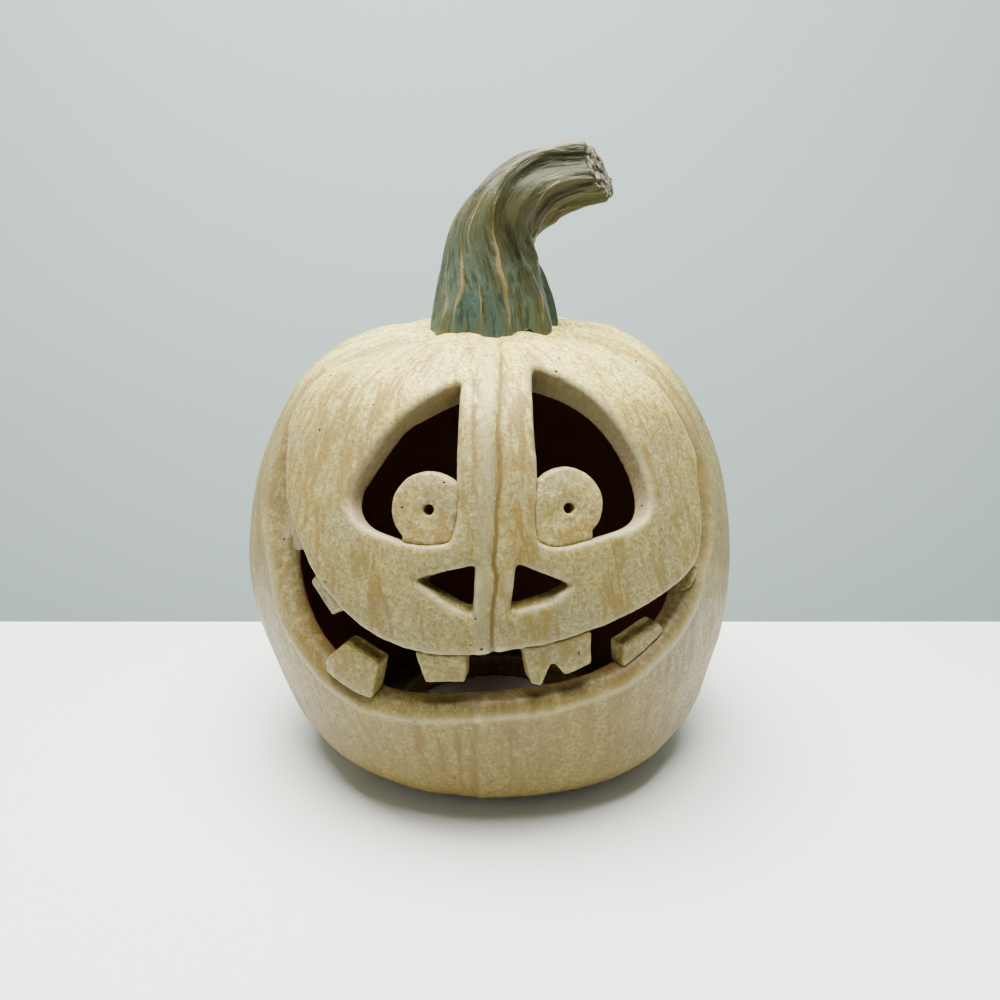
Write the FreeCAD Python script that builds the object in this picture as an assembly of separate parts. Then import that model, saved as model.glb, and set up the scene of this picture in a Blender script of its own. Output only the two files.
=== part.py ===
"""Stoneware jack-o'-lantern pumpkin: hollow carved body, two eye slabs, seven teeth and a bent glazed stem.

Millimetres. +Z is up and -Y is the front. The origin is on the resting plane, under the middle of the
pumpkin. Left and right are as seen from the front, so left is -X. A heading is an angle in degrees round
the pumpkin, 0 at the front and growing towards the right.
"""
import FreeCAD, Part

import math
import os

V = FreeCAD.Vector

# --- Driving dimensions -----------------------------------------------------------------------------------

BODY_HEIGHT = 168.5
# The outside of the body as (radius, height), from the edge of the foot up to the crown
BODY_PROFILE = [
    (51.5, 0.0), (67.6, 4.6), (81.0, 15.6), (86.6, 31.5), (91.6, 48.2), (94.8, 65.0), (95.2, 80.0),
    (93.8, 97.0), (90.4, 113.0), (85.0, 128.0), (77.6, 142.4), (67.6, 155.2), (53.2, 163.6), (36.8, 167.4),
    (20.0, 168.2), (8.0, BODY_HEIGHT),
]
WALL_BELOW = 11.0            # thickness of the wall from the foot up to the mouth
WALL_ABOVE = 9.5             # thickness of the wall round the eyes
WALL_CROWN = 12.5            # thickness of the wall under the stem
WALL_CHANGE = (60.0, 125.0)  # heights between which the wall thins
WALL_CROWN_CHANGE = (145.0, 165.0)
BASE_HOLE_RADIUS = 38.0
LEAN = 2.6                   # how far the foot stands to the right of the crown
LEAN_HEIGHT = 45.0
CROWN_TILT = 0.025           # how steeply the crown rises to the right

GROOVE_HEADINGS = [-164.0, -130.0, -97.0, -62.0, 2.0, 57.0, 92.0, 127.0, 162.0]
GROOVE_DEPTH = 2.8
GROOVE_DEPTH_FRONT = 1.2     # the carved front is almost smooth
FRONT_HEADING = 45.0
CROWN_DIP = 4.2              # how far the lobes stand over the grooves round the stem

POLES_ROUND = 90
POLES_UP = 30

# Point that the cuts through the wall aim at
EYE_AIM = V(0, 0, 72)
MOUTH_AIM = V(14, -5, 64)

# Outlines on the outside of the body as (heading, height)
LEFT_EYE_ARC = [
    (-9.3, 160.6), (-18.5, 154.2), (-24.5, 147.5), (-30.0, 134.5), (-32.5, 122.0), (-30.0, 116.6),
    (-22.0, 113.2), (-12.0, 111.8), (-8.3, 113.2),
]
LEFT_EYE_BRIDGE = [
    (-8.3, 113.2), (-7.6, 118.0), (-7.7, 135.0), (-8.4, 150.0), (-9.3, 160.6),
]
RIGHT_EYE_ARC = [
    (15.5, 163.0), (23.6, 159.6), (29.4, 154.4), (35.6, 141.2), (38.0, 125.5), (36.2, 116.6),
    (30.6, 113.6), (19.4, 111.8), (12.0, 111.6), (9.9, 113.6),
]
RIGHT_EYE_BRIDGE = [
    (9.9, 113.6), (9.8, 118.0), (10.7, 131.0), (11.2, 143.0), (12.2, 155.0), (15.5, 163.0),
]
UPPER_LIP = [
    (-63.5, 137.0), (-59.0, 132.0), (-54.0, 122.0), (-48.0, 111.5), (-40.5, 99.0), (-31.0, 85.0),
    (-21.0, 77.5), (-9.0, 75.0), (2.0, 77.0), (14.0, 79.5), (28.0, 84.0), (41.0, 90.5),
    (49.5, 99.5), (53.0, 112.0), (56.0, 124.0), (59.0, 129.0),
]
LOWER_LIP = [
    (59.0, 129.0), (59.5, 124.0), (57.6, 113.0), (56.0, 99.0), (50.5, 88.0), (40.5, 74.5),
    (28.0, 63.5), (12.0, 58.8), (-3.0, 57.0), (-18.0, 54.2), (-28.0, 54.5), (-38.0, 61.0),
    (-48.0, 75.0), (-55.0, 93.0), (-59.3, 108.0), (-62.0, 122.0), (-63.5, 137.0),
]

# Nostrils: corners as (x, z) at the outside of the wall and at the inside
NOSTRIL_OUTER_Y = -93.0
NOSTRIL_INNER_Y = -82.0
NOSTRIL_RUN_ON = 0.6         # how far the cut runs on past both sides, as a share of its depth
LEFT_NOSTRIL_OUTER = [(-4.6, 105.2), (-5.4, 88.6), (-14.0, 92.8), (-27.0, 102.0)]
LEFT_NOSTRIL_INNER = [(-4.6, 104.8), (-5.5, 88.6), (-13.0, 92.4), (-21.6, 96.8)]
RIGHT_NOSTRIL_OUTER = [(8.4, 106.0), (27.0, 99.0), (20.0, 93.0), (6.2, 90.0)]
RIGHT_NOSTRIL_INNER = [(8.4, 104.6), (25.4, 96.2), (19.0, 93.2), (6.8, 89.8)]

EYE_SLAB_RADIUS = 11.7
EYE_SLAB_THICKNESS = 6.0
PUPIL_RADIUS = 1.8
EYE_SLAB_TILT = 15.0
EYE_SLAB_SHOULDER = 8.8      # height of the square inner corner over the pupil
EYE_SLAB_HEEL = 7.8          # width of the straight foot on the outer side of the pupil
EYE_SLAB_DOWN = 14.5         # how far the square corner reaches down into the wall of the opening
# Each eye slab: centre of its disc, heading of its face, how far its corner reaches sideways, and where the
# pupil is from the centre
LEFT_EYE_SLAB = {"centre": V(-19.9, -83.6, 121.7), "heading": -12.0, "side": 10.6, "pupil": V(0, 0, 0)}
RIGHT_EYE_SLAB = {"centre": V(24.9, -82.3, 123.0), "heading": 14.0, "side": -11.6, "pupil": V(0.7, -1.2, 0)}

# Teeth: the heading that the slab faces, how deep its front is behind the outside of the body, its
# thickness, and its outline as (sideways, height). Each outline runs on into the lip that carries the tooth.
TEETH = {
    "upper_left_corner_tooth": (-49.0, 3.2, 5.5, [
        (-3.1, 112.4), (-5.4, 110.8), (-1.4, 98.7), (0.4, 98.4), (2.6, 100.6), (14.0, 110.0), (3.0, 121.0),
    ]),
    "upper_left_side_tooth": (-36.0, 1.8, 6.5, [
        (-7.0, 91.4), (2.4, 81.2), (13.0, 90.0), (2.0, 101.0),
    ]),
    "upper_left_front_tooth": (-9.5, 1.5, 7.0, [
        (-9.4, 83.0), (-8.7, 74.8), (-5.8, 64.5), (7.2, 65.6), (7.6, 83.0),
    ]),
    "upper_right_front_tooth": (13.5, 1.5, 7.0, [
        (-11.2, 87.0), (-11.0, 77.5), (-9.8, 70.1), (-8.2, 64.8), (-5.5, 64.2), (-1.8, 71.0), (-0.5, 70.9),
        (3.2, 67.2), (12.0, 69.8), (11.2, 89.0),
    ]),
    "lower_left_tooth": (-24.0, 1.7, 8.0, [
        (-21.2, 64.2), (-12.9, 72.2), (-0.1, 67.7), (-2.8, 56.6), (-4.0, 50.0), (-20.0, 52.0),
    ]),
    "lower_right_tooth": (32.0, 3.3, 7.0, [
        (-3.3, 58.0), (-3.9, 71.8), (10.8, 76.8), (14.8, 72.0), (14.0, 63.0), (5.0, 56.0),
    ]),
    "lower_right_corner_tooth": (47.0, 5.0, 7.5, [
        (2.0, 79.0), (4.6, 76.4), (11.0, 84.0), (16.0, 92.0), (10.0, 96.0), (7.0, 88.8),
    ]),
}

# Stem: stations as (x, z, lean of the section, half width across the bend, half width front to back,
# heading of the front rib). The ribs twist to the left on their way up. The last station lies past the tip.
STEM_STATIONS = [
    (1.0, 158.0, 0.0, 28.4, 27.0, 15.0),
    (1.0, 167.0, 0.0, 26.6, 25.4, 15.0),
    (1.2, 176.0, 2.0, 24.5, 23.4, 13.0),
    (1.2, 185.0, 6.0, 21.7, 21.0, 8.0),
    (1.1, 194.0, 14.0, 19.4, 19.2, 1.0),
    (2.1, 202.2, 26.0, 17.9, 17.8, -10.0),
    (5.4, 208.8, 38.0, 16.3, 16.4, -26.0),
    (11.2, 215.0, 50.0, 15.0, 15.4, -42.0),
    (18.6, 220.0, 62.0, 13.9, 14.6, -54.0),
    (26.8, 222.4, 70.0, 13.2, 13.9, -60.0),
    (36.0, 223.8, 73.0, 12.7, 13.4, -62.0),
    (46.0, 225.2, 73.0, 12.5, 13.1, -62.0),
    (54.0, 226.6, 73.0, 12.5, 13.0, -62.0),
]
STEM_TIP = V(40.0, 0, 224.8)             # middle of the cut face at the tip
STEM_TIP_FACING = V(0.89, -0.29, 0.35)
STEM_RIBS = 8
STEM_RIB_DEPTH = 0.13        # depth of the flutes between the ribs, as a share of the half width
STEM_POLES_ROUND = 72


# --- Helpers ----------------------------------------------------------------------------------------------

def smooth_step(value, low, high):
    share = min(max((value - low) / (high - low), 0.0), 1.0)
    return share * share * (3.0 - 2.0 * share)


def lean_offset(height):
    """Sideways place of the body's middle at a height."""
    return LEAN * math.exp(-(height / LEAN_HEIGHT) ** 2)


def profile_curve(thickness_share):
    """The body's profile in the XZ plane, moved inwards by a share of the wall's thickness."""
    outer = Part.BSplineCurve()
    outer.interpolate([V(radius, 0, height) for radius, height in BODY_PROFILE])
    count = 2 * POLES_UP
    first, last = outer.FirstParameter, outer.LastParameter
    points = []
    for index in range(count):
        parameter = first + (last - first) * index / (count - 1)
        point = outer.value(parameter)
        tangent = outer.tangent(parameter)[0]
        inward = V(-tangent.z, 0, tangent.x)
        wall = WALL_BELOW + (WALL_ABOVE - WALL_BELOW) * smooth_step(point.z, *WALL_CHANGE)
        wall += (WALL_CROWN - WALL_ABOVE) * smooth_step(point.z, *WALL_CROWN_CHANGE)
        points.append(point + inward * (wall * thickness_share))
    curve = Part.BSplineCurve()
    curve.interpolate(points)
    return curve


def lobe_share(heading):
    """0 in a groove and 1 on the crest of a lobe."""
    for index, start in enumerate(GROOVE_HEADINGS):
        end = GROOVE_HEADINGS[(index + 1) % len(GROOVE_HEADINGS)]
        width = (end - start) % 360.0
        along = (heading - start) % 360.0
        if along < width:
            return math.sin(math.pi * along / width) ** 0.6
    return 1.0


def groove_depth(heading):
    off_front = abs((heading + 180.0) % 360.0 - 180.0)
    side = smooth_step(off_front, FRONT_HEADING, FRONT_HEADING + 30.0)
    return GROOVE_DEPTH_FRONT + (GROOVE_DEPTH - GROOVE_DEPTH_FRONT) * side


def body_solid(thickness_share, lobes):
    """Closed lobed solid of revolution, flat at its bottom and crown."""
    curve = profile_curve(thickness_share)
    rows = curve.discretize(Number=POLES_UP)
    bottom = rows[0].z
    top = rows[-1].z
    grid = []
    for column in range(POLES_ROUND):
        heading = 360.0 * column / POLES_ROUND
        turn = math.radians(heading)
        hollow = lobes * (1.0 - lobe_share(heading))
        depth = groove_depth(heading)
        poles = []
        for row in rows:
            above_foot = smooth_step(row.z, bottom, bottom + 25.0)
            near_crown = smooth_step(row.z, top - 16.0, top)
            radius = row.x - hollow * depth * above_foot * (1.0 - near_crown)
            raised = smooth_step(row.z, top - 14.0, top - 4.0) * smooth_step(row.x, 12.0, 26.0)
            x = lean_offset(row.z) + radius * math.sin(turn)
            height = row.z - hollow * CROWN_DIP * raised + CROWN_TILT * x * raised
            poles.append(V(x, -radius * math.cos(turn), height))
        grid.append(poles)
    return solid_from_poles(grid)


def solid_from_poles(grid):
    """Solid from columns of poles round a closed tube, with a flat face on each end."""
    surface = Part.BSplineSurface()
    around = len(grid)
    along = len(grid[0])
    surface.buildFromPolesMultsKnots(
        grid,
        [1] * (around + 1),
        [4] + [1] * (along - 4) + [4],
        list(range(around + 1)),
        list(range(along - 2)),
        True,
        False,
        3,
        3,
    )
    side = surface.toShape()
    faces = [side]
    for edge in side.Edges:
        if edge.isClosed() and not edge.isSeam(side):
            faces.append(Part.Face(Part.Wire([edge])))
    shell = Part.Shell(faces)
    shell.sewShape()
    return Part.Solid(shell)


def outside_radius(height):
    """Radius of the body at a height, grooves apart."""
    level = Part.Plane(V(0, 0, height), V(0, 0, 1))
    return max(point.X for point in OUTER_PROFILE.intersect(level)[0])


def outside_point(heading, height):
    """Point on the outside of the body, grooves apart."""
    radius = outside_radius(height)
    turn = math.radians(heading)
    return V(lean_offset(height) + radius * math.sin(turn), -radius * math.cos(turn), height)


def spline(points, closed=False):
    curve = Part.BSplineCurve()
    curve.interpolate(points, PeriodicFlag=closed)
    return curve.toShape()


def aimed_cut(aim, outlines):
    """Cut whose sides all aim at one point. The outlines are open runs of (heading, height) that close up."""
    reach = 100.0            # distance in front of the aim at which the outline is drawn flat
    wires = []
    for scale in (0.12, 1.30):
        edges = []
        for outline in outlines:
            flat = []
            for heading, height in outline:
                ray = outside_point(heading, height) - aim
                flat.append(aim + ray * (scale * reach / abs(ray.y)))
            edges.append(spline(flat))
        wires.append(Part.Wire(edges))
    return Part.makeLoft(wires, True, True)


def nostril_cut(outer, inner):
    wires = []
    for share in (-NOSTRIL_RUN_ON, 1.0 + NOSTRIL_RUN_ON):
        points = []
        for (x, z), (inner_x, inner_z) in zip(outer, inner):
            start = V(x, NOSTRIL_OUTER_Y, z)
            end = V(inner_x, NOSTRIL_INNER_Y, inner_z)
            points.append(start + (end - start) * share)
        wires.append(Part.makePolygon(points + points[:1]))
    return Part.makeLoft(wires, True, True)


# --- Sub-parts --------------------------------------------------------------------------------------------

def make_body():
    """Hollow body with its carved openings and the round hole underneath."""
    body = OUTER_SOLID.cut(body_solid(1.0, 0.5))
    hole = Part.makeCylinder(BASE_HOLE_RADIUS, 3 * WALL_BELOW, V(LEAN, 0, -WALL_BELOW))
    cuts = [
        hole,
        aimed_cut(EYE_AIM, [LEFT_EYE_ARC, LEFT_EYE_BRIDGE]),
        aimed_cut(EYE_AIM, [RIGHT_EYE_ARC, RIGHT_EYE_BRIDGE]),
        aimed_cut(MOUTH_AIM, [UPPER_LIP, LOWER_LIP]),
        nostril_cut(LEFT_NOSTRIL_OUTER, LEFT_NOSTRIL_INNER),
        nostril_cut(RIGHT_NOSTRIL_OUTER, RIGHT_NOSTRIL_INNER),
    ]
    for cut in cuts:
        body = body.cut(cut)
    return body


def make_eye(slab, body):
    """Round slab with one square corner let into the corner of the eye opening, and a pupil hole."""
    side = slab["side"]
    width = abs(side)
    inner = min(side, 0.0)
    outer = 0.0 if side < 0 else -EYE_SLAB_HEEL
    disc = Part.makeCylinder(EYE_SLAB_RADIUS, EYE_SLAB_THICKNESS)
    corner = Part.makeBox(width, EYE_SLAB_DOWN, EYE_SLAB_THICKNESS, V(inner, -EYE_SLAB_DOWN, 0))
    shoulder = Part.makeBox(width, EYE_SLAB_SHOULDER, EYE_SLAB_THICKNESS, V(inner, 0, 0))
    heel = Part.makeBox(EYE_SLAB_HEEL, EYE_SLAB_DOWN, EYE_SLAB_THICKNESS, V(outer, -EYE_SLAB_DOWN, 0))
    shape = disc.fuse([corner, shoulder, heel]).removeSplitter()
    shape = shape.cut(Part.makeCylinder(PUPIL_RADIUS, EYE_SLAB_THICKNESS, slab["pupil"]))
    # The slab is drawn face up: stand it upright facing the front, tilt it back and turn it to its heading
    shape.translate(V(0, 0, -EYE_SLAB_THICKNESS))
    shape.rotate(V(0, 0, 0), V(1, 0, 0), 90.0 - EYE_SLAB_TILT)
    shape.rotate(V(0, 0, 0), V(0, 0, 1), slab["heading"])
    shape.translate(slab["centre"])
    return largest_solid(shape.common(OUTER_SOLID).cut(body))


def make_tooth(tooth, body):
    """Slab that hangs from or stands on a lip, trimmed where it meets it."""
    heading, depth, thickness, outline = tooth
    turn = math.radians(heading)
    facing = V(math.sin(turn), -math.cos(turn), 0)
    sideways = V(math.cos(turn), math.sin(turn), 0)
    middle_height = sum(height for _, height in outline) / len(outline)
    front = facing * (outside_radius(middle_height) - depth)
    points = []
    for aside, height in outline:
        points.append(front + sideways * aside + V(0, 0, height))
    face = Part.Face(Part.makePolygon(points + points[:1]))
    slab = face.extrude(facing * -thickness).common(OUTER_SOLID)
    return largest_solid(slab.cut(body))


def largest_solid(shape):
    return max(shape.Solids, key=lambda solid: solid.Volume)


def make_stem():
    """Ribbed stalk that flares onto the crown, bends over to the right and ends in a cut face."""
    grid = []
    for column in range(STEM_POLES_ROUND):
        round_rib = 2.0 * math.pi * column / STEM_POLES_ROUND
        flute = abs(math.sin(STEM_RIBS * round_rib / 2.0)) ** 0.8
        radial = 1.0 - STEM_RIB_DEPTH * flute
        poles = []
        for x, z, lean, half_width, half_depth, front_rib in STEM_STATIONS:
            tilt = math.radians(lean)
            turn = round_rib + math.radians(front_rib)
            across = half_width * radial * math.sin(turn)
            deep = -half_depth * radial * math.cos(turn)
            poles.append(V(x + across * math.cos(tilt), deep, z - across * math.sin(tilt)))
        grid.append(poles)
    past_tip = Part.makeCylinder(40.0, 40.0, STEM_TIP, STEM_TIP_FACING)
    return largest_solid(solid_from_poles(grid).cut(past_tip).cut(OUTER_SOLID))


OUTER_PROFILE = profile_curve(0.0)
OUTER_SOLID = body_solid(0.0, 1.0)


def main():
    os.makedirs("parts", exist_ok=True)
    body = make_body()
    parts = {
        "body_shell": body,
        "stem": make_stem(),
        "left_eye": make_eye(LEFT_EYE_SLAB, body),
        "right_eye": make_eye(RIGHT_EYE_SLAB, body),
    }
    for name, tooth in TEETH.items():
        parts[name] = make_tooth(tooth, body)
    for name, shape in parts.items():
        print(name, "valid" if shape.isValid() else "broken", round(shape.Volume), "mm3")
        shape.exportStep(f"parts/{name}.step")


main()
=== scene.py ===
"""Looks of the stoneware jack-o'-lantern: edges worn pale and with painted highlight, painted shade in
hollows, pressed grooves, brushed slip and running glaze.

Blender 4.5, metres, in the frame of the CAD model: +Z is up and -Y is the carved front. A heading is an angle
round the body, 0 at the front and growing towards the viewer's right.
"""
import math

import bpy
import numpy as np
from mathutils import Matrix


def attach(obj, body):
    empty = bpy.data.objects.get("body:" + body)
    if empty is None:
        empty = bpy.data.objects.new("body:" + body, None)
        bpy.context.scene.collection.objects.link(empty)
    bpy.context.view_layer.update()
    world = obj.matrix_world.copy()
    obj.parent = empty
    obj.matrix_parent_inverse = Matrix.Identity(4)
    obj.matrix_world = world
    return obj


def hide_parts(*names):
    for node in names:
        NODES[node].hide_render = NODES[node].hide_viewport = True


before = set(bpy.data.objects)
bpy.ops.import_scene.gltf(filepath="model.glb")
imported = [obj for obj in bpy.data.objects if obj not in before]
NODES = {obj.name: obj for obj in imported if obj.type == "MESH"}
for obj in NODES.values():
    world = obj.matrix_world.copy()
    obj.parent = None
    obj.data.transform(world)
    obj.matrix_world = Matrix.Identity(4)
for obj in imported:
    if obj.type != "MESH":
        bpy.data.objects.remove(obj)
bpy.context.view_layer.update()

import openvdb
from mathutils import Vector
from mathutils.bvhtree import BVHTree

MM = 0.001
ROOT = "root"


# --- Noise ------------------------------------------------------------------------------------------------

HASH_PRIMES = np.array([73856093, 19349663, 83492791], np.uint64)
SEED_PRIME = 2654435761
STIR_PRIMES = (2246822519, 3266489917)


def lattice_noise(points, seed):
    """Smooth noise from -1 to 1 at points given in cells of the lattice."""
    cell = np.floor(points).astype(np.int64)
    inside = points - cell
    fade = inside * inside * inside * (inside * (inside * 6.0 - 15.0) + 10.0)
    total = np.zeros(len(points))
    for corner in range(8):
        step = np.array([corner & 1, corner >> 1 & 1, corner >> 2 & 1])
        at = (cell + step).astype(np.uint64)
        mixed = np.bitwise_xor.reduce(at * HASH_PRIMES, axis=1)
        mixed = (mixed ^ np.uint64(seed * SEED_PRIME % 2**32)) * np.uint64(STIR_PRIMES[0])
        mixed = (mixed ^ (mixed >> np.uint64(15))) * np.uint64(STIR_PRIMES[1])
        mixed ^= mixed >> np.uint64(13)
        value = (mixed & np.uint64(0xFFFFF)).astype(float) / 0x7FFFF - 1.0
        total += value * np.where(step, fade, 1.0 - fade).prod(axis=1)
    return total


def fractal_noise(points, size, seed, octaves=3):
    """Lattice noise of a size in the points' units, with finer and weaker noise added octave by octave."""
    total = np.zeros(len(points))
    strength = 1.0
    for octave in range(octaves):
        total += strength * lattice_noise(points / size * 2.0**octave + 17.3 * octave, seed + octave)
        strength *= 0.5
    return total


def smooth_step(value, low, high):
    """0 up to low and 1 from high on, with a smooth ramp between."""
    share = np.clip((value - low) / (high - low), 0.0, 1.0)
    return share * share * (3.0 - 2.0 * share)


# --- Meshes -----------------------------------------------------------------------------------------------

def node_triangles(name):
    """A CAD node's corners in millimetres and its triangles."""
    mesh = NODES[name].data
    mesh.calc_loop_triangles()
    corners = np.empty(len(mesh.vertices) * 3, np.float32)
    mesh.vertices.foreach_get("co", corners)
    triangles = np.empty(len(mesh.loop_triangles) * 3, np.int32)
    mesh.loop_triangles.foreach_get("vertices", triangles)
    return corners.reshape(-1, 3) / MM, triangles.reshape(-1, 3).astype(np.uint32)


def blurred(field, spread):
    """The field smoothed with a bell curve, spread in voxels."""
    reach = int(math.ceil(2.5 * spread))
    weights = np.exp(-0.5 * (np.arange(-reach, reach + 1) / spread) ** 2)
    weights /= weights.sum()
    for axis in range(3):
        padded = np.pad(field, [(reach, reach) if a == axis else (0, 0) for a in range(3)], mode="edge")
        total = np.zeros_like(field)
        for index, weight in enumerate(weights):
            window = [slice(None)] * 3
            window[axis] = slice(index, index + field.shape[axis])
            total += np.float32(weight) * padded[tuple(window)]
        field = total
    return field


class Field:
    """Signed distance to a CAD node on a voxel grid, in millimetres, negative inside."""

    def __init__(self, name, voxel, reach):
        corners, triangles = node_triangles(name)
        self.voxel = voxel
        self.band = math.ceil(reach / voxel) + 3
        self.transform = openvdb.createLinearTransform(voxelSize=voxel)
        grid = openvdb.FloatGrid.createLevelSetFromPolygons(
            corners, triangles=triangles, transform=self.transform, halfWidth=float(self.band)
        )
        low, high = grid.evalActiveVoxelBoundingBox()
        self.low = tuple(int(v) - 2 for v in low)
        self.values = self.dense(grid, tuple(int(v) + 3 - w for v, w in zip(high, self.low)))
        self.grid = grid

    def dense(self, grid, shape):
        values = np.empty(shape, np.float32)
        grid.copyToArray(values, ijk=self.low)
        return values

    def rounded(self, radius):
        """The same distances with every outward edge rounded to a radius: shrunk, then grown again."""
        points, quads = self.grid.convertToQuads(-radius)
        grown = openvdb.FloatGrid.createLevelSetFromPolygons(
            points, quads=quads, transform=self.transform, halfWidth=float(self.band)
        )
        return self.dense(grown, self.values.shape) - np.float32(radius)

    def positions(self, mask):
        return (np.argwhere(mask) + self.low) * self.voxel

    def surface(self, values):
        """Quad mesh of the zero surface: points in millimetres and quads."""
        grid = openvdb.FloatGrid(self.band * self.voxel)
        grid.copyFromArray(np.ascontiguousarray(values), ijk=self.low)
        grid.transform = self.transform
        grid.gridClass = openvdb.GridClass.LEVEL_SET
        points, quads = grid.convertToQuads(0.0)
        return points.astype(float), quads.astype(np.int32)[:, ::-1]


def make_object(name, points, quads):
    """Smooth-shaded mesh object from points in millimetres."""
    mesh = bpy.data.meshes.new(name)
    mesh.vertices.add(len(points))
    mesh.vertices.foreach_set("co", (points * MM).astype(np.float32).ravel())
    mesh.loops.add(quads.size)
    mesh.loops.foreach_set("vertex_index", quads.ravel())
    mesh.polygons.add(len(quads))
    mesh.polygons.foreach_set("loop_start", np.arange(0, quads.size, 4, dtype=np.int32))
    mesh.update(calc_edges=True)
    mesh.validate()
    mesh.shade_smooth()
    piece = bpy.data.objects.new(name, mesh)
    bpy.context.scene.collection.objects.link(piece)
    return piece


def vertex_normals(points, quads):
    one = points[quads[:, 2]] - points[quads[:, 0]]
    two = points[quads[:, 3]] - points[quads[:, 1]]
    faces = np.cross(one, two)
    normals = np.zeros_like(points)
    for corner in range(4):
        for axis in range(3):
            normals[:, axis] += np.bincount(quads[:, corner], faces[:, axis], len(points))
    return normals / np.maximum(np.linalg.norm(normals, axis=1, keepdims=True), 1e-9)


def relaxed(values, quads, rounds):
    """Values averaged with their neighbours along the edges."""
    count = len(values)
    links = np.concatenate([quads[:, [k, (k + 1) % 4]] for k in range(4)])
    links = np.concatenate([links, links[:, ::-1]])
    degree = np.bincount(links[:, 0], minlength=count)
    flat = values.reshape(count, -1).astype(float)
    for _ in range(rounds):
        mean = np.stack(
            [np.bincount(links[:, 0], flat[links[:, 1], k], count) for k in range(flat.shape[1])], axis=1
        )
        flat = 0.5 * flat + 0.5 * mean / np.maximum(degree, 1)[:, None]
    return flat.reshape(values.shape)


def store(piece, name, values):
    """Values at the points of a piece, for its material to read."""
    kind = "FLOAT" if values.ndim == 1 else "FLOAT_VECTOR"
    layer = piece.data.attributes.new(name, kind, "POINT")
    layer.data.foreach_set("value" if values.ndim == 1 else "vector", values.astype(np.float32).ravel())


# --- Where a point lies on the pumpkin --------------------------------------------------------------------

def headings(points):
    """Heading of each point in degrees."""
    return np.degrees(np.arctan2(points[:, 0], -points[:, 1]))


class Wall:
    """How far the body's wall reaches from its middle, looked up by direction."""

    STEP = 2.0                   # degrees between directions
    FAR = 500.0                  # mm from the middle, well outside the body
    FILL_ROUNDS = 400

    def __init__(self):
        corners, triangles = node_triangles("body_shell")
        tree = BVHTree.FromPolygons(corners.tolist(), triangles.tolist())
        self.middle = (corners.min(axis=0) + corners.max(axis=0)) / 2.0
        turns = np.arange(-180.0, 180.0, self.STEP)
        rises = np.arange(-90.0, 90.0 + self.STEP, self.STEP)
        outer = np.full((len(turns), len(rises)), np.nan)
        for i, turn in enumerate(np.radians(turns)):
            for j, rise in enumerate(np.radians(rises)):
                level = math.cos(rise)
                ray = Vector((math.sin(turn) * level, -math.cos(turn) * level, math.sin(rise)))
                far = Vector(self.middle) + ray * self.FAR
                hit = tree.ray_cast(far, -ray, self.FAR)[0]
                if hit is not None:
                    outer[i, j] = (hit - Vector(self.middle)).length
        self.outer = self.filled(outer)

    @classmethod
    def filled(cls, table):
        """Openings bridged with the mean of what is round them."""
        holes = np.isnan(table)
        table = np.where(holes, np.nanmean(table), table)
        for _ in range(cls.FILL_ROUNDS):
            below = np.hstack([table[:, :1], table[:, :-1]])
            over = np.hstack([table[:, 1:], table[:, -1:]])
            mean = (np.roll(table, 1, 0) + np.roll(table, -1, 0)) / 4.0 + (below + over) / 4.0
            table = np.where(holes, mean, table)
        return table

    def depth(self, points):
        """Depth of each point under the outside, and the direction to it from the middle."""
        ray = points - self.middle
        distance = np.linalg.norm(ray, axis=1)
        ray = ray / np.maximum(distance, 1e-9)[:, None]
        turn = (headings(ray) + 180.0) / self.STEP
        rise = (np.degrees(np.arcsin(np.clip(ray[:, 2], -1.0, 1.0))) + 90.0) / self.STEP
        i = np.floor(turn).astype(int)
        j = np.minimum(np.floor(rise).astype(int), self.outer.shape[1] - 2)
        u, v = turn - i, rise - j
        around = self.outer.shape[0]
        low = (1.0 - u) * self.outer[i % around, j] + u * self.outer[(i + 1) % around, j]
        high = (1.0 - u) * self.outer[i % around, j + 1] + u * self.outer[(i + 1) % around, j + 1]
        return (1.0 - v) * low + v * high - distance, ray


# Edges of the grin as (heading, height in mm), from the left to the right. Both run on past its corners into
# one crease on each side.
LEFT_CREASE = [(-63.0, 158.0), (-64.0, 147.0), (-63.5, 137.0)]
RIGHT_CREASE = [(58.0, 131.0), (57.5, 140.0), (56.0, 150.0)]
UPPER_RIM = LEFT_CREASE + [
    (-59.0, 132.0), (-54.0, 122.0), (-48.0, 111.5), (-40.5, 99.0), (-31.0, 85.0), (-21.0, 77.5), (-9.0, 75.0),
    (2.0, 77.0), (14.0, 79.5), (28.0, 84.0), (41.0, 90.5), (49.5, 99.5), (53.0, 112.0), (56.0, 124.0),
] + RIGHT_CREASE
LOWER_RIM = LEFT_CREASE + [
    (-62.0, 122.0), (-59.3, 108.0), (-55.0, 93.0), (-48.0, 75.0), (-38.0, 61.0), (-28.0, 54.5), (-18.0, 54.2),
    (-3.0, 57.0), (12.0, 58.8), (28.0, 63.5), (40.5, 74.5), (50.5, 88.0), (56.0, 99.0), (57.6, 113.0),
    (59.5, 124.0),
] + RIGHT_CREASE
WALL_PER_DEGREE = 1.62       # mm of wall for a degree of heading, at the widest


def rim_distance(points, rim):
    """Distance in mm from an edge of the grin, measured along the wall and positive above the edge."""
    flat = np.stack([headings(points) * WALL_PER_DEGREE, points[:, 2]], axis=1)
    line = np.array(rim) * [WALL_PER_DEGREE, 1.0]
    nearest = np.full(len(points), 1e9)
    signed = np.zeros(len(points))
    for start, end in zip(line[:-1], line[1:]):
        run = end - start
        along = np.clip(((flat - start) @ run) / (run @ run), 0.0, 1.0)
        away = flat - start - along[:, None] * run
        distance = np.hypot(away[:, 0], away[:, 1])
        side = np.where(run[0] * away[:, 1] - run[1] * away[:, 0] >= 0.0, 1.0, -1.0)
        signed = np.where(distance < nearest, distance * side, signed)
        nearest = np.minimum(distance, nearest)
    return signed


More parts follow.
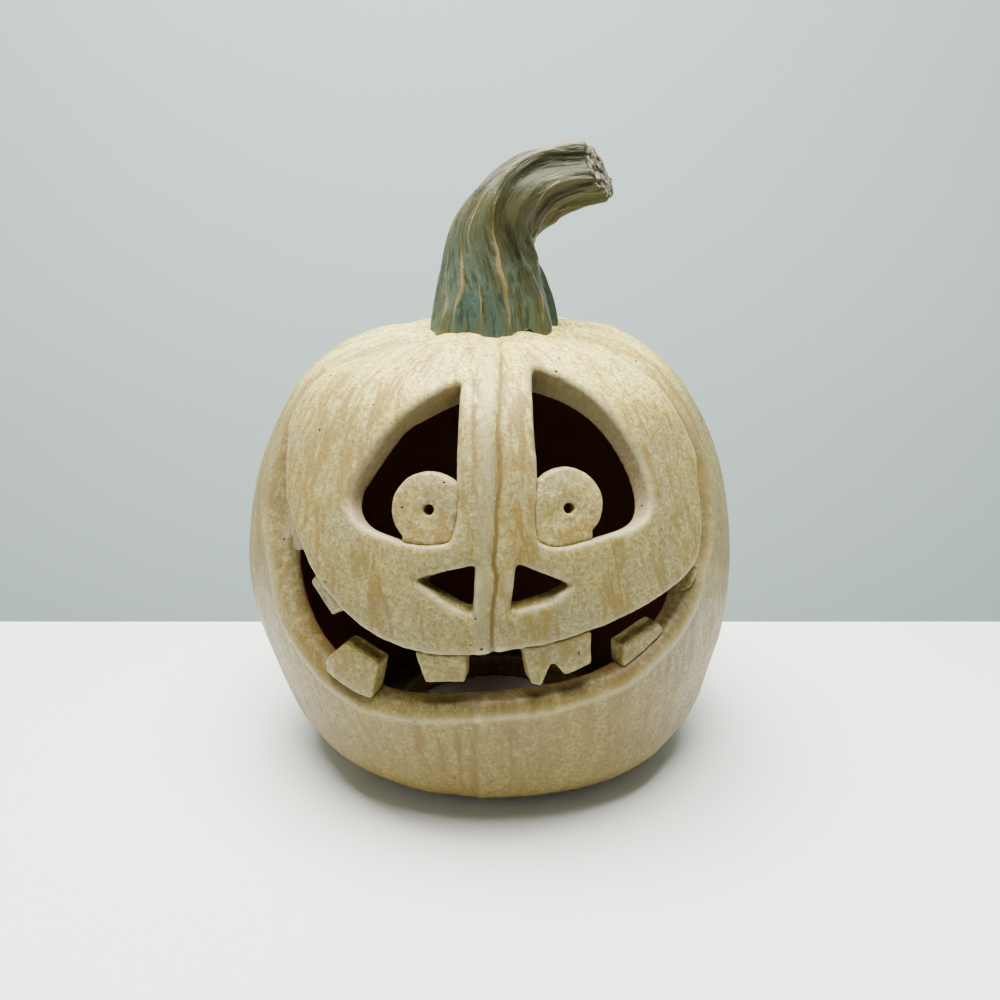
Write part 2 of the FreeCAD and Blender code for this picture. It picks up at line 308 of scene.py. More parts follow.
# The line scratched down the middle of the face, as (height, x)
SCRATCH = [
    (20.0, 0.5), (50.0, 0.2), (80.0, 0.7), (92.0, 0.6), (96.0, 1.6), (101.0, 2.3), (106.0, 1.1), (115.0, 2.0),
    (124.0, 2.2), (130.0, 3.4), (138.0, 3.4), (144.0, 2.3), (150.0, 3.0), (160.0, 3.8), (168.0, 4.2),
]


def scratch_distance(points):
    """Sideways distance in mm from the scratched line, positive to its right."""
    heights, places = np.array(SCRATCH).T
    wander = 0.25 * lattice_noise(points[:, [2, 2, 2]] / 4.0, 71)
    return points[:, 0] - np.interp(points[:, 2], heights, places) - wander


def bell(value, middle, width):
    """1 at the middle, and falling off smoothly over a width to either side."""
    return np.exp(-(((value - middle) / width) ** 2))


# --- Body -------------------------------------------------------------------------------------------------

UPPER_ROUNDING = 1.3         # radius of the outside edges of the eyes, nostrils and upper lip
LOWER_ROUNDING = 4.0         # radius of the rolled lower lip


def body_surface(wall):
    """Carved body: lower lip rolled, other outside edges eased, inside edges left as the knife cut them."""
    field = Field("body_shell", voxel=0.85, reach=6.5)
    eased = field.rounded(UPPER_ROUNDING)
    rolled = field.rounded(LOWER_ROUNDING)
    near = (np.abs(field.values) < 6.0) | (np.abs(rolled) < 3.0)
    places = field.positions(near)
    depth = wall.depth(places)[0]
    upper = np.abs(rim_distance(places, UPPER_RIM))
    lower = np.abs(rim_distance(places, LOWER_RIM))
    front = (places[:, 1] < 0.0) & (np.abs(headings(places)) < 70.0)
    lip = smooth_step(upper - lower, -1.0, 3.0) * (1.0 - smooth_step(lower, 14.0, 20.0)) * front
    outer = 1.0 - smooth_step(depth, 5.0, 7.0)
    sharp = field.values[near]
    mixed = sharp + (eased[near] - sharp) * outer
    mixed += (rolled[near] - mixed) * lip
    values = field.values.copy()
    values[near] = mixed
    return field.surface(blurred(values, spread=0.75))


# What the potter pushed out and in, in mm, as (left, right)
CHEEKS_PROUD = (2.6, 3.2)
SUNK_UNDER_GRIN = (2.0, 1.4)
SUNK_MORE_BESIDE = (1.6, 2.4)


def grin_relief(points, skin):
    """How far each point is moved outwards round the grin, in mm: cheeks proud, clay beside it sunk and a
    ridge along the lower lip. Also, from 0 to 1, a painted highlight along that ridge and on the cheeks'
    edges, painted shade in the creases beside the grin, and how near the crease at its ends is."""
    turn = headings(points)
    height = points[:, 2]
    upper = rim_distance(points, UPPER_RIM)
    lower = rim_distance(points, LOWER_RIM)
    above = np.where(np.abs(upper - lower) < 0.01, upper > 0.0, np.abs(upper) <= np.abs(lower))
    left = smooth_step(-turn, 22.0, 46.0) * (1.0 - smooth_step(-turn, 74.0, 92.0))
    right = smooth_step(turn, 26.0, 50.0) * (1.0 - smooth_step(turn, 70.0, 88.0))
    rise = smooth_step(height, 66.0, 96.0) * (1.0 - smooth_step(height, 148.0, 165.0))
    beside = smooth_step(height, 84.0, 112.0)
    proud = (CHEEKS_PROUD[0] * left + CHEEKS_PROUD[1] * right) * bell(np.maximum(upper, 0.0), 0.0, 20.0)
    sunk = (SUNK_UNDER_GRIN[0] + SUNK_MORE_BESIDE[0] * beside) * left
    sunk += (SUNK_UNDER_GRIN[1] + SUNK_MORE_BESIDE[1] * beside) * right
    roll = bell(np.minimum(lower, 0.0), -0.5, 5.0 + 2.0 * beside)
    moved = np.where(above, proud, -sunk * roll) * rise

    near_front = smooth_step(80.0 - np.abs(turn), 0.0, 10.0)
    ridge = bell(lower, -5.6 - 5.0 * beside, 1.8 + 1.2 * beside) * ~above
    ridge *= near_front * (1.0 - smooth_step(height, 140.0, 156.0))
    moved += ridge * skin
    corner = smooth_step(np.abs(turn), 44.0, 52.0) * rise
    # Painted highlight along the lower lip's ridge and on the cheeks' edges
    ridge_highlight = np.maximum((0.6 - 0.35 * beside) * ridge, bell(upper, 0.8, 0.8) * above * corner) * skin
    # Painted shade in the crease beside each cheek and along the lower lip
    crease_shade = np.maximum(bell(lower, -2.8, 8.5) * corner, 0.40 * bell(lower, -2.6, 1.8)) * ~above * skin
    seam = bell(np.minimum(np.abs(upper), np.abs(lower)), 0.0, 2.2)
    seam *= smooth_step(2.0 - np.abs(upper - lower), 0.0, 1.5) * (points[:, 1] < 0.0)
    return moved, ridge_highlight, crease_shade * near_front, seam


def middle_relief(points):
    """Height in mm of the band and strip beside the scratched line, with the line sunk between them, and of
    the drip under the mouth."""
    height = points[:, 2]
    front = smooth_step(-points[:, 1], 20.0, 50.0)
    aside = scratch_distance(points)
    band = smooth_step(aside, -6.5, -5.0) * (1.0 - smooth_step(aside, -1.6, -0.8))
    strip = smooth_step(aside, 0.8, 1.5) * (1.0 - smooth_step(aside, 3.0, 5.0))
    face = (0.45 * band + 0.3 * strip - 0.8 * bell(aside, 0.0, 0.9)) * smooth_step(height, 70.0, 76.0)
    drip = 0.35 * bell(aside, -3.5, 2.2) - 0.3 * bell(aside, -6.5, 1.0)
    return front * np.where(height > 60.0, face, drip * smooth_step(60.0 - height, 0.0, 8.0))


# Added in mm to the distance from the scratched line where no line shows: off the front, and under the mouth
OFF_FRONT = 20.0
UNDER_MOUTH = 3.0


def scratch_masks(points):
    """Distance in mm from the scratched line, and from 0 to 1 the band on its left that was wiped smooth."""
    behind = OFF_FRONT * (points[:, 1] > -20.0)
    aside = scratch_distance(points)
    away = np.abs(aside) + (behind + UNDER_MOUTH * (points[:, 2] < 74.0))
    wiped = smooth_step(aside + behind, -7.0, -5.6) * (1.0 - smooth_step(aside + behind, -2.0, -1.2))
    return away, wiped * smooth_step(points[:, 2], 74.0, 84.0)


def clay_masks(points, depth, facing):
    """From 0 to 1: the dark coat inside, the outside skin, and the cut edges of the mouth and nose and of the
    eyes. Facing is 1 where the surface looks straight out of the body and -1 where it looks straight in."""
    coat = smooth_step(-facing, 0.35, 0.60) * smooth_step(depth, 3.0, 6.0)
    coat *= 1.0 - smooth_step(16.0 - points[:, 2], 0.0, 5.0)
    skin = smooth_step(facing, 0.0, 0.5) * (1.0 - smooth_step(depth, 3.0, 6.0))
    carved = smooth_step(-points[:, 1], 15.0, 30.0) * (1.0 - coat)
    low_cut = carved * smooth_step(depth, 0.9, 1.7) * (1.0 - smooth_step(np.abs(facing), 0.35, 0.7))
    eye_cut = carved * (1.0 - smooth_step(facing, 0.40, 0.70))
    eyes = smooth_step(points[:, 2], 96.0, 108.0)
    return coat, skin, low_cut * (1.0 - eyes), eye_cut * eyes


def brush_space(points):
    """Space squeezed along the meridians, so that noise in it becomes strokes from the stem downwards."""
    level = np.hypot(points[:, 0], points[:, 1])
    slant = np.radians(0.10 * (points[:, 2] - 80.0))
    turn = np.arctan2(points[:, 0], -points[:, 1]) + slant
    spread = 92.0 * smooth_step(level, 0.0, 40.0)
    down = points[:, 2] * 0.24 - level * 0.20
    return np.column_stack([spread * np.sin(turn), -spread * np.cos(turn), down])


# Glaze runs on the front as (sideways place, width, lowest and highest height)
RUNS = [
    (-5.2, 0.9, 104.0, 166.0), (9.6, 2.0, 104.0, 160.0), (13.4, 1.2, 112.0, 150.0), (-9.4, 1.2, 116.0, 150.0),
    (-17.0, 1.6, 20.0, 50.0), (-10.6, 1.8, 10.0, 52.0), (-5.6, 2.4, 6.0, 54.0), (8.0, 1.4, 26.0, 50.0),
    (-24.0, 1.4, 28.0, 50.0), (3.0, 1.2, 78.0, 92.0), (-3.4, 1.0, 78.0, 100.0),
]


def glaze_runs(points):
    """0 to 1 where glaze has run down the front."""
    front = smooth_step(-points[:, 1], 15.0, 45.0)
    total = np.zeros(len(points))
    for number, (place, width, low, high) in enumerate(RUNS):
        wander = 0.8 * lattice_noise(points[:, [2, 2, 2]] / 9.0 + number, 83)
        fade = smooth_step(points[:, 2], low, low + 8.0) * (1.0 - smooth_step(points[:, 2], high - 6.0, high))
        swell = width * (1.0 + 0.5 * lattice_noise(points[:, [2, 2, 2]] / 14.0 + 5.0 * number, 89))
        total = np.maximum(total, bell(points[:, 0], place + wander, swell) * fade)
    return total * front


def bend(points, quads, normals, rounds):
    """How convex the surface is, in mm: positive on edges and negative in hollows."""
    return ((points - relaxed(points, quads, rounds)) * normals).sum(axis=1)


def make_body():
    wall = Wall()
    points, quads = body_surface(wall)
    depth, outward = wall.depth(points)
    normals = vertex_normals(points, quads)
    coat, skin, low_cut, eye_cut = clay_masks(points, depth, (normals * outward).sum(axis=1))
    moved, ridge_highlight, crease_shade, seam = grin_relief(points, skin)
    moved = relaxed(moved + middle_relief(points), quads, 1)
    standing = smooth_step(points[:, 2], 0.5, 8.0)
    hand = 0.6 * fractal_noise(points, 42.0, 3, 2) + 0.2 * fractal_noise(points, 12.0, 11, 2)
    strokes = brush_space(points)
    combed = 0.10 * fractal_noise(strokes, 3.2, 29, 3)
    points = points + outward * (standing * moved)[:, None]
    points += (seam * skin)[:, None] * (relaxed(points, quads, 3) - points)
    points = points + normals * (standing * skin * (hand + combed))[:, None]
    normals = vertex_normals(points, quads)
    scratch, wiped = scratch_masks(points)

    piece = make_object("body_stoneware", points, quads)
    store(piece, "strokes", strokes)
    store(piece, "coat", coat)
    store(piece, "bend", relaxed(bend(points, quads, normals, 8), quads, 1))
    store(piece, "hollow", relaxed(bend(points, quads, normals, 36), quads, 2))
    store(piece, "runs", glaze_runs(points))
    # Painted highlight along the lower lip's ridge and on the cheeks' edges
    store(piece, "ridge_highlight", ridge_highlight)
    # Browner cut clay of the mouth and nose, and the painted shade in the grin's creases
    store(piece, "cut_clay_and_crease_shade", np.maximum(relaxed(0.42 * low_cut, quads, 1), crease_shade))
    store(piece, "cut", relaxed(eye_cut, quads, 1))
    store(piece, "scratch", scratch)
    store(piece, "wiped", wiped)
    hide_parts("body_shell")
    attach(piece, ROOT)
    return piece


# --- Slabs: eyes and teeth --------------------------------------------------------------------------------

UNMOVED = (0.0, 0.0, 0.0)


def make_slab(node, rounding, grow, shift=UNMOVED, pupil=None):
    """Slab with its cut edges eased, a little grown so that it is sunk into the clay it is luted to, and
    shifted in mm with the cheek that it belongs to. A pupil is the middle of a hole that keeps its size."""
    field = Field(node, voxel=0.35, reach=3.0)
    values = field.rounded(rounding)
    near = np.abs(values) < 2.0
    places = field.positions(near)
    wobble = 0.30 * fractal_noise(places, 9.0, 41, 2) + 0.08 * fractal_noise(places, 2.2, 47, 2)
    growth = np.full(len(places), grow)
    if pupil is not None:
        away = np.linalg.norm((places - pupil)[:, [0, 2]], axis=1)
        growth *= smooth_step(away, 3.0, 6.0)
        wobble *= smooth_step(away, 2.0, 4.0)
    values[near] -= (growth + wobble).astype(np.float32)
    points, quads = field.surface(blurred(values, spread=0.6))
    normals = vertex_normals(points, quads)
    points = points + shift
    piece = make_object(node + "_clay", points, quads)
    store(piece, "bend", relaxed(bend(points, quads, normals, 8), quads, 1))
    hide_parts(node)
    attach(piece, ROOT)
    return piece


# Shift in mm of the teeth that sit under the pushed-out cheeks
TOOTH_SHIFT = {
    "upper_left_side_tooth": (-1.0, 1.2, 0.0),
    "upper_left_corner_tooth": (-0.4, 0.6, 0.0),
    "lower_right_corner_tooth": (-0.5, -4.5, -3.2),
}


PUPIL_REACH = 4.5            # mm from a slab's middle: all of the hole's corners and none of the slab's edge


def hole_middle(node):
    """Middle of the round hole through an eye slab, found from the ring of corners round it."""
    corners = node_triangles(node)[0]
    middle = (corners.min(axis=0) + corners.max(axis=0)) / 2.0
    away = np.linalg.norm((corners - middle)[:, [0, 2]], axis=1)
    ring = corners[away < PUPIL_REACH]
    return ring.mean(axis=0) if len(ring) else middle


# --- Stem -------------------------------------------------------------------------------------------------

# Middle line of the stem as (x, z), with the lean of its section and the heading of its front rib in degrees
STEM_LINE = np.array([
    (1.0, 158.0, 0.0, 15.0), (1.0, 167.0, 0.0, 15.0), (1.2, 176.0, 2.0, 13.0),
    (1.2, 185.0, 6.0, 8.0), (1.1, 194.0, 14.0, 1.0), (2.1, 202.2, 26.0, -10.0),
    (5.4, 208.8, 38.0, -26.0), (11.2, 215.0, 50.0, -42.0), (18.6, 220.0, 62.0, -54.0),
    (26.8, 222.4, 70.0, -60.0), (36.0, 223.8, 73.0, -62.0), (46.0, 225.2, 73.0, -62.0),
])
STEM_GIRTH = 15.0            # mean radius that the grain of the glaze is laid out on
TIP = np.array([40.0, 0.0, 224.8])
TIP_FACING = np.array([0.89, -0.29, 0.35]) / np.linalg.norm([0.89, -0.29, 0.35])

# The bent end's middle height at places across, and what is done to the stem, in mm
BENT_END = np.array([(5.0, 209.0), (11.0, 215.0), (18.6, 220.0), (26.8, 222.4), (46.0, 225.2)])
FOOT_SUNK = 2.8
TOP_DOWN = 2.4
UNDERSIDE_UP = 0.6
CORNER_UP = 4.0
TIP_OUT = 1.3


def smooth_line(stations, steps):
    """The stations joined by a smooth curve through all of them."""
    ends = np.vstack([2.0 * stations[0] - stations[1], stations, 2.0 * stations[-1] - stations[-2]])
    rows = []
    for before, start, end, after in zip(ends[:-3], ends[1:-2], ends[2:-1], ends[3:]):
        for share in np.arange(steps) / steps:
            row = 2.0 * start + (end - before) * share
            row = row + (2.0 * before - 5.0 * start + 4.0 * end - after) * share**2
            rows.append((row + (3.0 * start - before - 3.0 * end + after) * share**3) / 2.0)
    return np.array(rows + [stations[-1]])


STEM_CURVE = smooth_line(STEM_LINE, 5)


def stem_places(points):
    """Distance along the stem in mm, and the angle round it that follows the twist of the ribs."""
    line = STEM_CURVE[:, :2]
    lengths = np.concatenate([[0.0], np.cumsum(np.linalg.norm(np.diff(line, axis=0), axis=1))])
    nearest = np.full(len(points), 1e9)
    along = np.zeros(len(points))
    flat = points[:, [0, 2]]
    for number, (start, end) in enumerate(zip(line[:-1], line[1:])):
        run = end - start
        share = np.clip(((flat - start) @ run) / (run @ run), 0.0, 1.0)
        distance = np.linalg.norm(flat - start - share[:, None] * run, axis=1)
        here = lengths[number] + share * (lengths[number + 1] - lengths[number])
        along = np.where(distance < nearest, here, along)
        nearest = np.minimum(distance, nearest)
    x, z, lean, twist = (np.interp(along, lengths, column) for column in STEM_CURVE.T)
    lean = np.radians(lean)
    across = (points[:, 0] - x) * np.cos(lean) - (points[:, 2] - z) * np.sin(lean)
    return along, np.arctan2(across, -points[:, 1]) - np.radians(twist)


RIB_WAVE = 15.0              # mm along the stem over which a rib swells and wanders

# Ribs of the stem as (angle from the front rib, height in mm, width in radians)
RIBS = [
    (0.0, 2.3, 0.15), (-0.36, 0.8, 0.08), (-0.78, 1.4, 0.14), (-1.32, 1.6, 0.17), (-1.95, 1.3, 0.20),
    (-2.65, 1.4, 0.22), (0.70, 0.6, 0.10), (1.15, 1.7, 0.16), (1.75, 1.2, 0.18), (2.45, 1.5, 0.22),
    (3.05, 1.1, 0.2),
]


def rib_heights(along, around):
    """Height in mm of the ribs, and how near to a crest each point is, from 0 to 1."""
    height = np.zeros(len(along))
    crest = np.zeros(len(along))
    for number, (place, tall, width) in enumerate(RIBS):
        path = np.column_stack([along / RIB_WAVE + 9.0 * number, along * 0.0, along * 0.0])
        wander = 0.16 * fractal_noise(path, 1.0, 211, 2)
        swell = 0.85 + 0.65 * lattice_noise(path * 0.9 + 3.0, 223)
        away = np.abs((around - place - wander + math.pi) % (2.0 * math.pi) - math.pi)
        height = np.maximum(height, tall * np.maximum(swell, 0.3) * np.exp(-((away / width) ** 1.3)))
        crest = np.maximum(crest, np.clip(swell, 0.0, 1.0) * np.exp(-((away / (0.26 * width)) ** 2)))
    return height, crest


def wrinkles(along, around, size, stretch, seed):
    """Noise drawn out along the twisted ribs."""
    place = np.column_stack([STEM_GIRTH * np.sin(around), STEM_GIRTH * np.cos(around), along / stretch])
    return fractal_noise(place, size, seed, 2)


def stem_relief(height, along, around, ribs):
    """Height in mm of the ribs, folds and wrinkles of the stem's side."""
    folds = wrinkles(along, around, 7.5, 7.0, 101)
    creases = 1.0 - np.abs(wrinkles(along, around, 3.4, 6.0, 131)) * 2.0
    fine = wrinkles(along, around, 1.5, 5.0, 151)
    foot = 1.0 - smooth_step(height, 165.0, 182.0)
    relief = 0.7 * folds + 0.45 * np.clip(creases, -1.0, 1.0) + 0.26 * fine + ribs * (1.0 + 0.3 * foot)
    return relief - 1.2 - 1.1 * bell(around, 0.38, 0.24)


def settled(points):
    """Stem with its foot let into the crown, and its bent end thinner and a little longer."""
    x, y, z = points.T
    z = z - FOOT_SUNK * (1.0 - smooth_step(z, 166.0, 180.0))
    under = smooth_step(np.interp(x, *BENT_END.T) - z, -6.0, 10.0)
    outward = smooth_step(x, 8.0, 38.0)
    lift = under * (UNDERSIDE_UP * outward + CORNER_UP * smooth_step(x, 40.0, 51.0))
    z = z + (lift - TOP_DOWN * (1.0 - under) * outward)
    return np.column_stack([x + TIP_OUT * outward, y, z])


def make_stem():
    field = Field("stem", voxel=0.5, reach=3.0)
    points, quads = field.surface(blurred(field.rounded(radius=0.8), spread=0.9))
    along, around = stem_places(points)
    turning = relaxed(np.column_stack([along, np.sin(around), np.cos(around)]), quads, 24)
    along = turning[:, 0]
    around = np.arctan2(turning[:, 1], turning[:, 2])
    normals = vertex_normals(points, quads)
    over_tip = (points - TIP) @ TIP_FACING
    tip = smooth_step(over_tip, -1.6, -0.5)
    bare = smooth_step(over_tip, -1.5, -0.5)
    ribs, crest = rib_heights(along, around)
    relief = stem_relief(points[:, 2], along, around, ribs)
    pores = np.minimum(fractal_noise(points, 2.6, 171, 2), 0.15) * 1.5
    pores += 0.5 * fractal_noise(points, 6.0, 181, 2) - 0.3
    side = (1.0 - tip) * smooth_step(points[:, 2], 160.0, 168.0)
    points = settled(points + normals * (side * relief + tip * pores)[:, None])
    normals = vertex_normals(points, quads)

    piece = make_object("stem_glazed", points, quads)
    store(piece, "crest", relaxed(bend(points, quads, normals, 10), quads, 1))
    store(piece, "rib", crest * smooth_step(points[:, 2], 166.0, 176.0) * (1.0 - tip))
    store(piece, "bare", bare)
    grain = np.column_stack([STEM_GIRTH * np.sin(around), STEM_GIRTH * np.cos(around), along / 6.0])
    store(piece, "grain", grain)
    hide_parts("stem")
    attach(piece, ROOT)
    return piece


# --- Materials --------------------------------------------------------------------------------------------

class Shader:
    """Short names for building a material's nodes."""

    def __init__(self, name):
        self.material = bpy.data.materials.new(name)
        self.material.use_nodes = True
        self.tree = self.material.node_tree
        self.tree.nodes.clear()
        self.surface = self.node("ShaderNodeBsdfPrincipled")
        output = self.node("ShaderNodeOutputMaterial")
        self.link(self.surface.outputs[0], output.inputs["Surface"])
        self.place = self.node("ShaderNodeTexCoord").outputs["Object"]

    def node(self, kind, **settings):
        made = self.tree.nodes.new(kind)
        for key, value in settings.items():
            setattr(made, key, value)
        return made

    def link(self, source, target):
        self.tree.links.new(source, target)

    def fill(self, socket, value):
        if isinstance(value, bpy.types.NodeSocket):
            self.link(value, socket)
        else:
            socket.default_value = value

    def attribute(self, name, vector=False):
        made = self.node("ShaderNodeAttribute", attribute_name=name, attribute_type="GEOMETRY")
        return made.outputs["Vector" if vector else "Fac"]

    def scaled(self, vector, factors):
        made = self.node("ShaderNodeVectorMath", operation="MULTIPLY")
        self.fill(made.inputs[0], vector)
        made.inputs[1].default_value = factors
        return made.outputs[0]

    def noise(self, vector, scale, detail=3.0, roughness=0.55, distortion=0.0):
        made = self.node("ShaderNodeTexNoise")
        self.fill(made.inputs["Vector"], vector)
        made.inputs["Scale"].default_value = scale
        made.inputs["Detail"].default_value = detail
        made.inputs["Roughness"].default_value = roughness
        made.inputs["Distortion"].default_value = distortion
        return made.outputs["Fac"]

    def spots(self, vector, scale):
        """Distance to the nearest of many scattered points, and a colour that is that point's own."""
        made = self.node("ShaderNodeTexVoronoi", feature="F1")
        self.fill(made.inputs["Vector"], vector)
        made.inputs["Scale"].default_value = scale
        return made.outputs["Distance"], made.outputs["Color"]

    def remap(self, value, low, high, to_low=0.0, to_high=1.0):
        made = self.node("ShaderNodeMapRange", interpolation_type="SMOOTHSTEP")
        self.fill(made.inputs["Value"], value)
        made.inputs["From Min"].default_value = low
        made.inputs["From Max"].default_value = high
        made.inputs["To Min"].default_value = to_low
        made.inputs["To Max"].default_value = to_high
        return made.outputs["Result"]

    def math(self, operation, one, two=0.0):
        made = self.node("ShaderNodeMath", operation=operation)
        self.fill(made.inputs[0], one)
        self.fill(made.inputs[1], two)
        return made.outputs[0]

    def mix(self, share, one, two, blend="MIX"):
        made = self.node("ShaderNodeMix", data_type="RGBA", blend_type=blend)
        self.fill(made.inputs["Factor"], share)
        self.fill(made.inputs[6], one)
        self.fill(made.inputs[7], two)
        return made.outputs[2]

    def height(self):
        split = self.node("ShaderNodeSeparateXYZ")
        self.link(self.place, split.inputs[0])
        return split.outputs["Z"]

    def tinted(self, colour, tint):
        return self.mix(1.0, colour, tint, "MULTIPLY")

    def bump(self, value, distance):
        made = self.node("ShaderNodeBump")
        made.inputs["Strength"].default_value = 1.0
        made.inputs["Distance"].default_value = distance
        self.fill(made.inputs["Height"], value)
        return made.outputs["Normal"]

    def finish(self, colour, roughness, normal=None):
        self.fill(self.surface.inputs["Base Color"], colour)
        self.fill(self.surface.inputs["Roughness"], roughness)
        if normal is not None:
            self.link(normal, self.surface.inputs["Normal"])
        return self.material


# Colours of slip, clay and painted light and shade, as linear red, green, blue and alpha. A tint multiplies
# what is under it.
PALE = (0.285, 0.248, 0.092, 1.0)
CREAM = (0.40, 0.345, 0.125, 1.0)
GREY = (0.245, 0.230, 0.118, 1.0)
OCHRE = (0.195, 0.130, 0.030, 1.0)
# Pale slip worn thin on edges, also painted as highlight on rims and ridges
WORN_EDGE_AND_HIGHLIGHT = (0.44, 0.40, 0.215, 1.0)
# Deep ochre of cut clay and pooled glaze, also painted as shade in creases and hollows
DEEP_OCHRE_AND_SHADE = (0.135, 0.090, 0.028, 1.0)
LINE = (0.125, 0.080, 0.020, 1.0)
# Cut clay of the eye openings, painted lighter and greyer as if lit by bounce light
EYE_CUT_PAINTED_LIGHT = (0.40, 0.325, 0.19, 1.0)
# Paler slip on the crown, with painted top light
CROWN_PALE_AND_PAINTED_LIGHT = (3.00, 2.98, 2.00, 1.0)
CROWN_OCHRE = (0.27, 0.175, 0.032, 1.0)
LOW_TINT = (0.58, 0.50, 0.31, 1.0)
BODY_TINT = (1.0, 1.0, 1.0, 1.0)
EYE_TINT = (1.25, 1.25, 1.35, 1.0)
TOOTH_TINT = (0.88, 0.87, 0.82, 1.0)
IRON = (0.035, 0.021, 0.009, 1.0)
DARK_COAT = (0.230, 0.100, 0.045, 1.0)


def body_only(made, colour, crown, broad, fine, curl):
    """Colour with what only the body has: glaze runs, cut edges (the eyes' painted lighter), painted shade in
    folds and hollows, painted highlight on ridges, the wiped band, the scratched line and a browner foot."""
    runs = made.math("MULTIPLY", made.attribute("runs"), made.remap(fine, 0.38, 0.58, 0.15, 1.0))
    colour = made.mix(made.remap(runs, 0.10, 0.85, 0.0, 0.80), colour, OCHRE)
    # Browner cut clay of the mouth and nose, and painted shade in the grin's creases
    cut_clay_and_crease_shade = made.math("MULTIPLY", made.attribute("cut_clay_and_crease_shade"), made.remap(curl, 0.30, 0.62, 0.85, 0.50))
    colour = made.mix(cut_clay_and_crease_shade, colour, DEEP_OCHRE_AND_SHADE)
    # The eyes' cut faces, painted lighter and greyer as if lit by bounce light
    cut = made.math("MULTIPLY", made.attribute("cut"), made.remap(curl, 0.40, 0.60, 0.55, 0.90))
    colour = made.mix(cut, colour, EYE_CUT_PAINTED_LIGHT)
    # Painted shade in broad hollows
    sunk = made.remap(made.attribute("hollow"), -0.15, -1.40, 0.0, 0.70)
    colour = made.mix(sunk, colour, DEEP_OCHRE_AND_SHADE)
    # Painted highlight on broad ridges, the lower lip's ridge and the cheeks' edges
    proud = made.remap(made.attribute("hollow"), 0.25, 1.20, 0.0, 0.35)
    proud = made.math("MAXIMUM", proud, made.math("MULTIPLY", made.attribute("ridge_highlight"), 0.75))
    colour = made.mix(proud, colour, WORN_EDGE_AND_HIGHLIGHT)
    wiped = made.math("MULTIPLY", made.attribute("wiped"), made.remap(broad, 0.35, 0.60, 0.75, 0.35))
    # The wiped band's grey, paler and with painted top light on the crown
    colour = made.mix(wiped, colour, made.mix(crown, GREY, made.tinted(GREY, CROWN_PALE_AND_PAINTED_LIGHT)))
    line = made.remap(made.attribute("scratch"), 1.05, 0.40)
    worn = made.remap(made.height(), 0.135, 0.162, 0.75, 0.38)
    colour = made.mix(made.math("MULTIPLY", line, worn), colour, LINE)
    low = made.remap(made.height(), 0.110, 0.015)
    return made.mix(low, colour, made.tinted(colour, LOW_TINT))


def stoneware(name, brushed, tint):
    """Cream slip over ochre clay, with crawled flecks, iron specks, and pale edges that are partly worn slip
    and partly painted highlight. Brushed slip runs down the meridians, and the inside of the body has a dark
    coat."""
    made = Shader(name)
    if brushed:
        along = made.attribute("strokes", vector=True)
    else:
        along = made.scaled(made.place, (900.0, 900.0, 700.0))
    broad = made.noise(along, 0.085, 4.0, 0.60, 0.8)
    fine = made.noise(along, 0.40, 4.0, 0.65, 0.3)
    fleck = made.noise(made.place, 800.0, 3.0, 0.7, 0.3)
    curl = made.noise(made.place, 540.0, 3.0, 0.6, 0.9)
    clouds = made.noise(made.place, 38.0, 3.0, 0.55)
    edge = made.attribute("bend")

    colour = made.mix(made.remap(clouds, 0.38, 0.62), PALE, GREY)
    colour = made.mix(made.remap(curl, 0.50, 0.58, 0.0, 0.85), colour, CREAM)
    ochre = OCHRE
    if brushed:
        # Crown lighter: paler slip there, and painted top light
        crown = made.remap(made.height(), 0.134, 0.172)
        colour = made.mix(crown, colour, made.tinted(colour, CROWN_PALE_AND_PAINTED_LIGHT))
        ochre = made.mix(crown, OCHRE, CROWN_OCHRE)
    wash = made.math("ADD", made.math("MULTIPLY", broad, 0.50), made.math("MULTIPLY", fine, 0.50))
    calm = made.remap(made.height(), 0.035, 0.065, 0.55, 1.0)
    streaks = made.math("MULTIPLY", made.remap(wash, 0.46, 0.58, 0.0, 0.75), calm)
    colour = made.mix(streaks, colour, ochre)
    colour = made.mix(made.remap(fleck, 0.50, 0.42, 0.0, 0.70), colour, ochre)
    colour = made.tinted(colour, tint)
    colour = made.mix(made.remap(edge, -0.05, -0.40, 0.0, 0.75), colour, DEEP_OCHRE_AND_SHADE)
    if brushed:
        colour = body_only(made, colour, crown, broad, fine, curl)
    # Pale edges: slip worn thin there, and painted highlight
    colour = made.mix(made.remap(edge, 0.12, 0.42, 0.0, 0.70), colour, WORN_EDGE_AND_HIGHLIGHT)

    dots, dot_colour = made.spots(made.place, 170.0)
    pins = made.math("MULTIPLY", made.remap(dots, 0.10, 0.05), made.remap(dot_colour, 0.66, 0.70))
    colour = made.mix(pins, colour, IRON)
    relief = made.math("ADD", made.math("MULTIPLY", fine, 0.55), made.math("MULTIPLY", curl, 0.30))
    relief = made.math("SUBTRACT", relief, made.math("MULTIPLY", pins, 0.8))
    normal = made.bump(relief, 0.0006)
    roughness = made.remap(curl, 0.35, 0.65, 0.52, 0.40)
    if brushed:
        coat = made.remap(made.attribute("coat"), 0.35, 0.65)
        colour = made.mix(coat, colour, DARK_COAT)
        roughness = made.math("ADD", roughness, made.math("MULTIPLY", coat, 0.4))
    made.surface.inputs["Specular IOR Level"].default_value = 0.27
    return made.finish(colour, roughness, normal)


# Colours of the stem's glaze, and of the bare clay at its tip
CELADON = (0.088, 0.115, 0.078, 1.0)
TEAL = (0.052, 0.086, 0.068, 1.0)
OLIVE = (0.078, 0.076, 0.034, 1.0)
OLIVE_DEEP = (0.062, 0.057, 0.021, 1.0)
TAN = (0.27, 0.205, 0.085, 1.0)
FOLD = (0.018, 0.026, 0.018, 1.0)
BISQUE = (0.26, 0.235, 0.150, 1.0)
PORE = (0.018, 0.014, 0.009, 1.0)


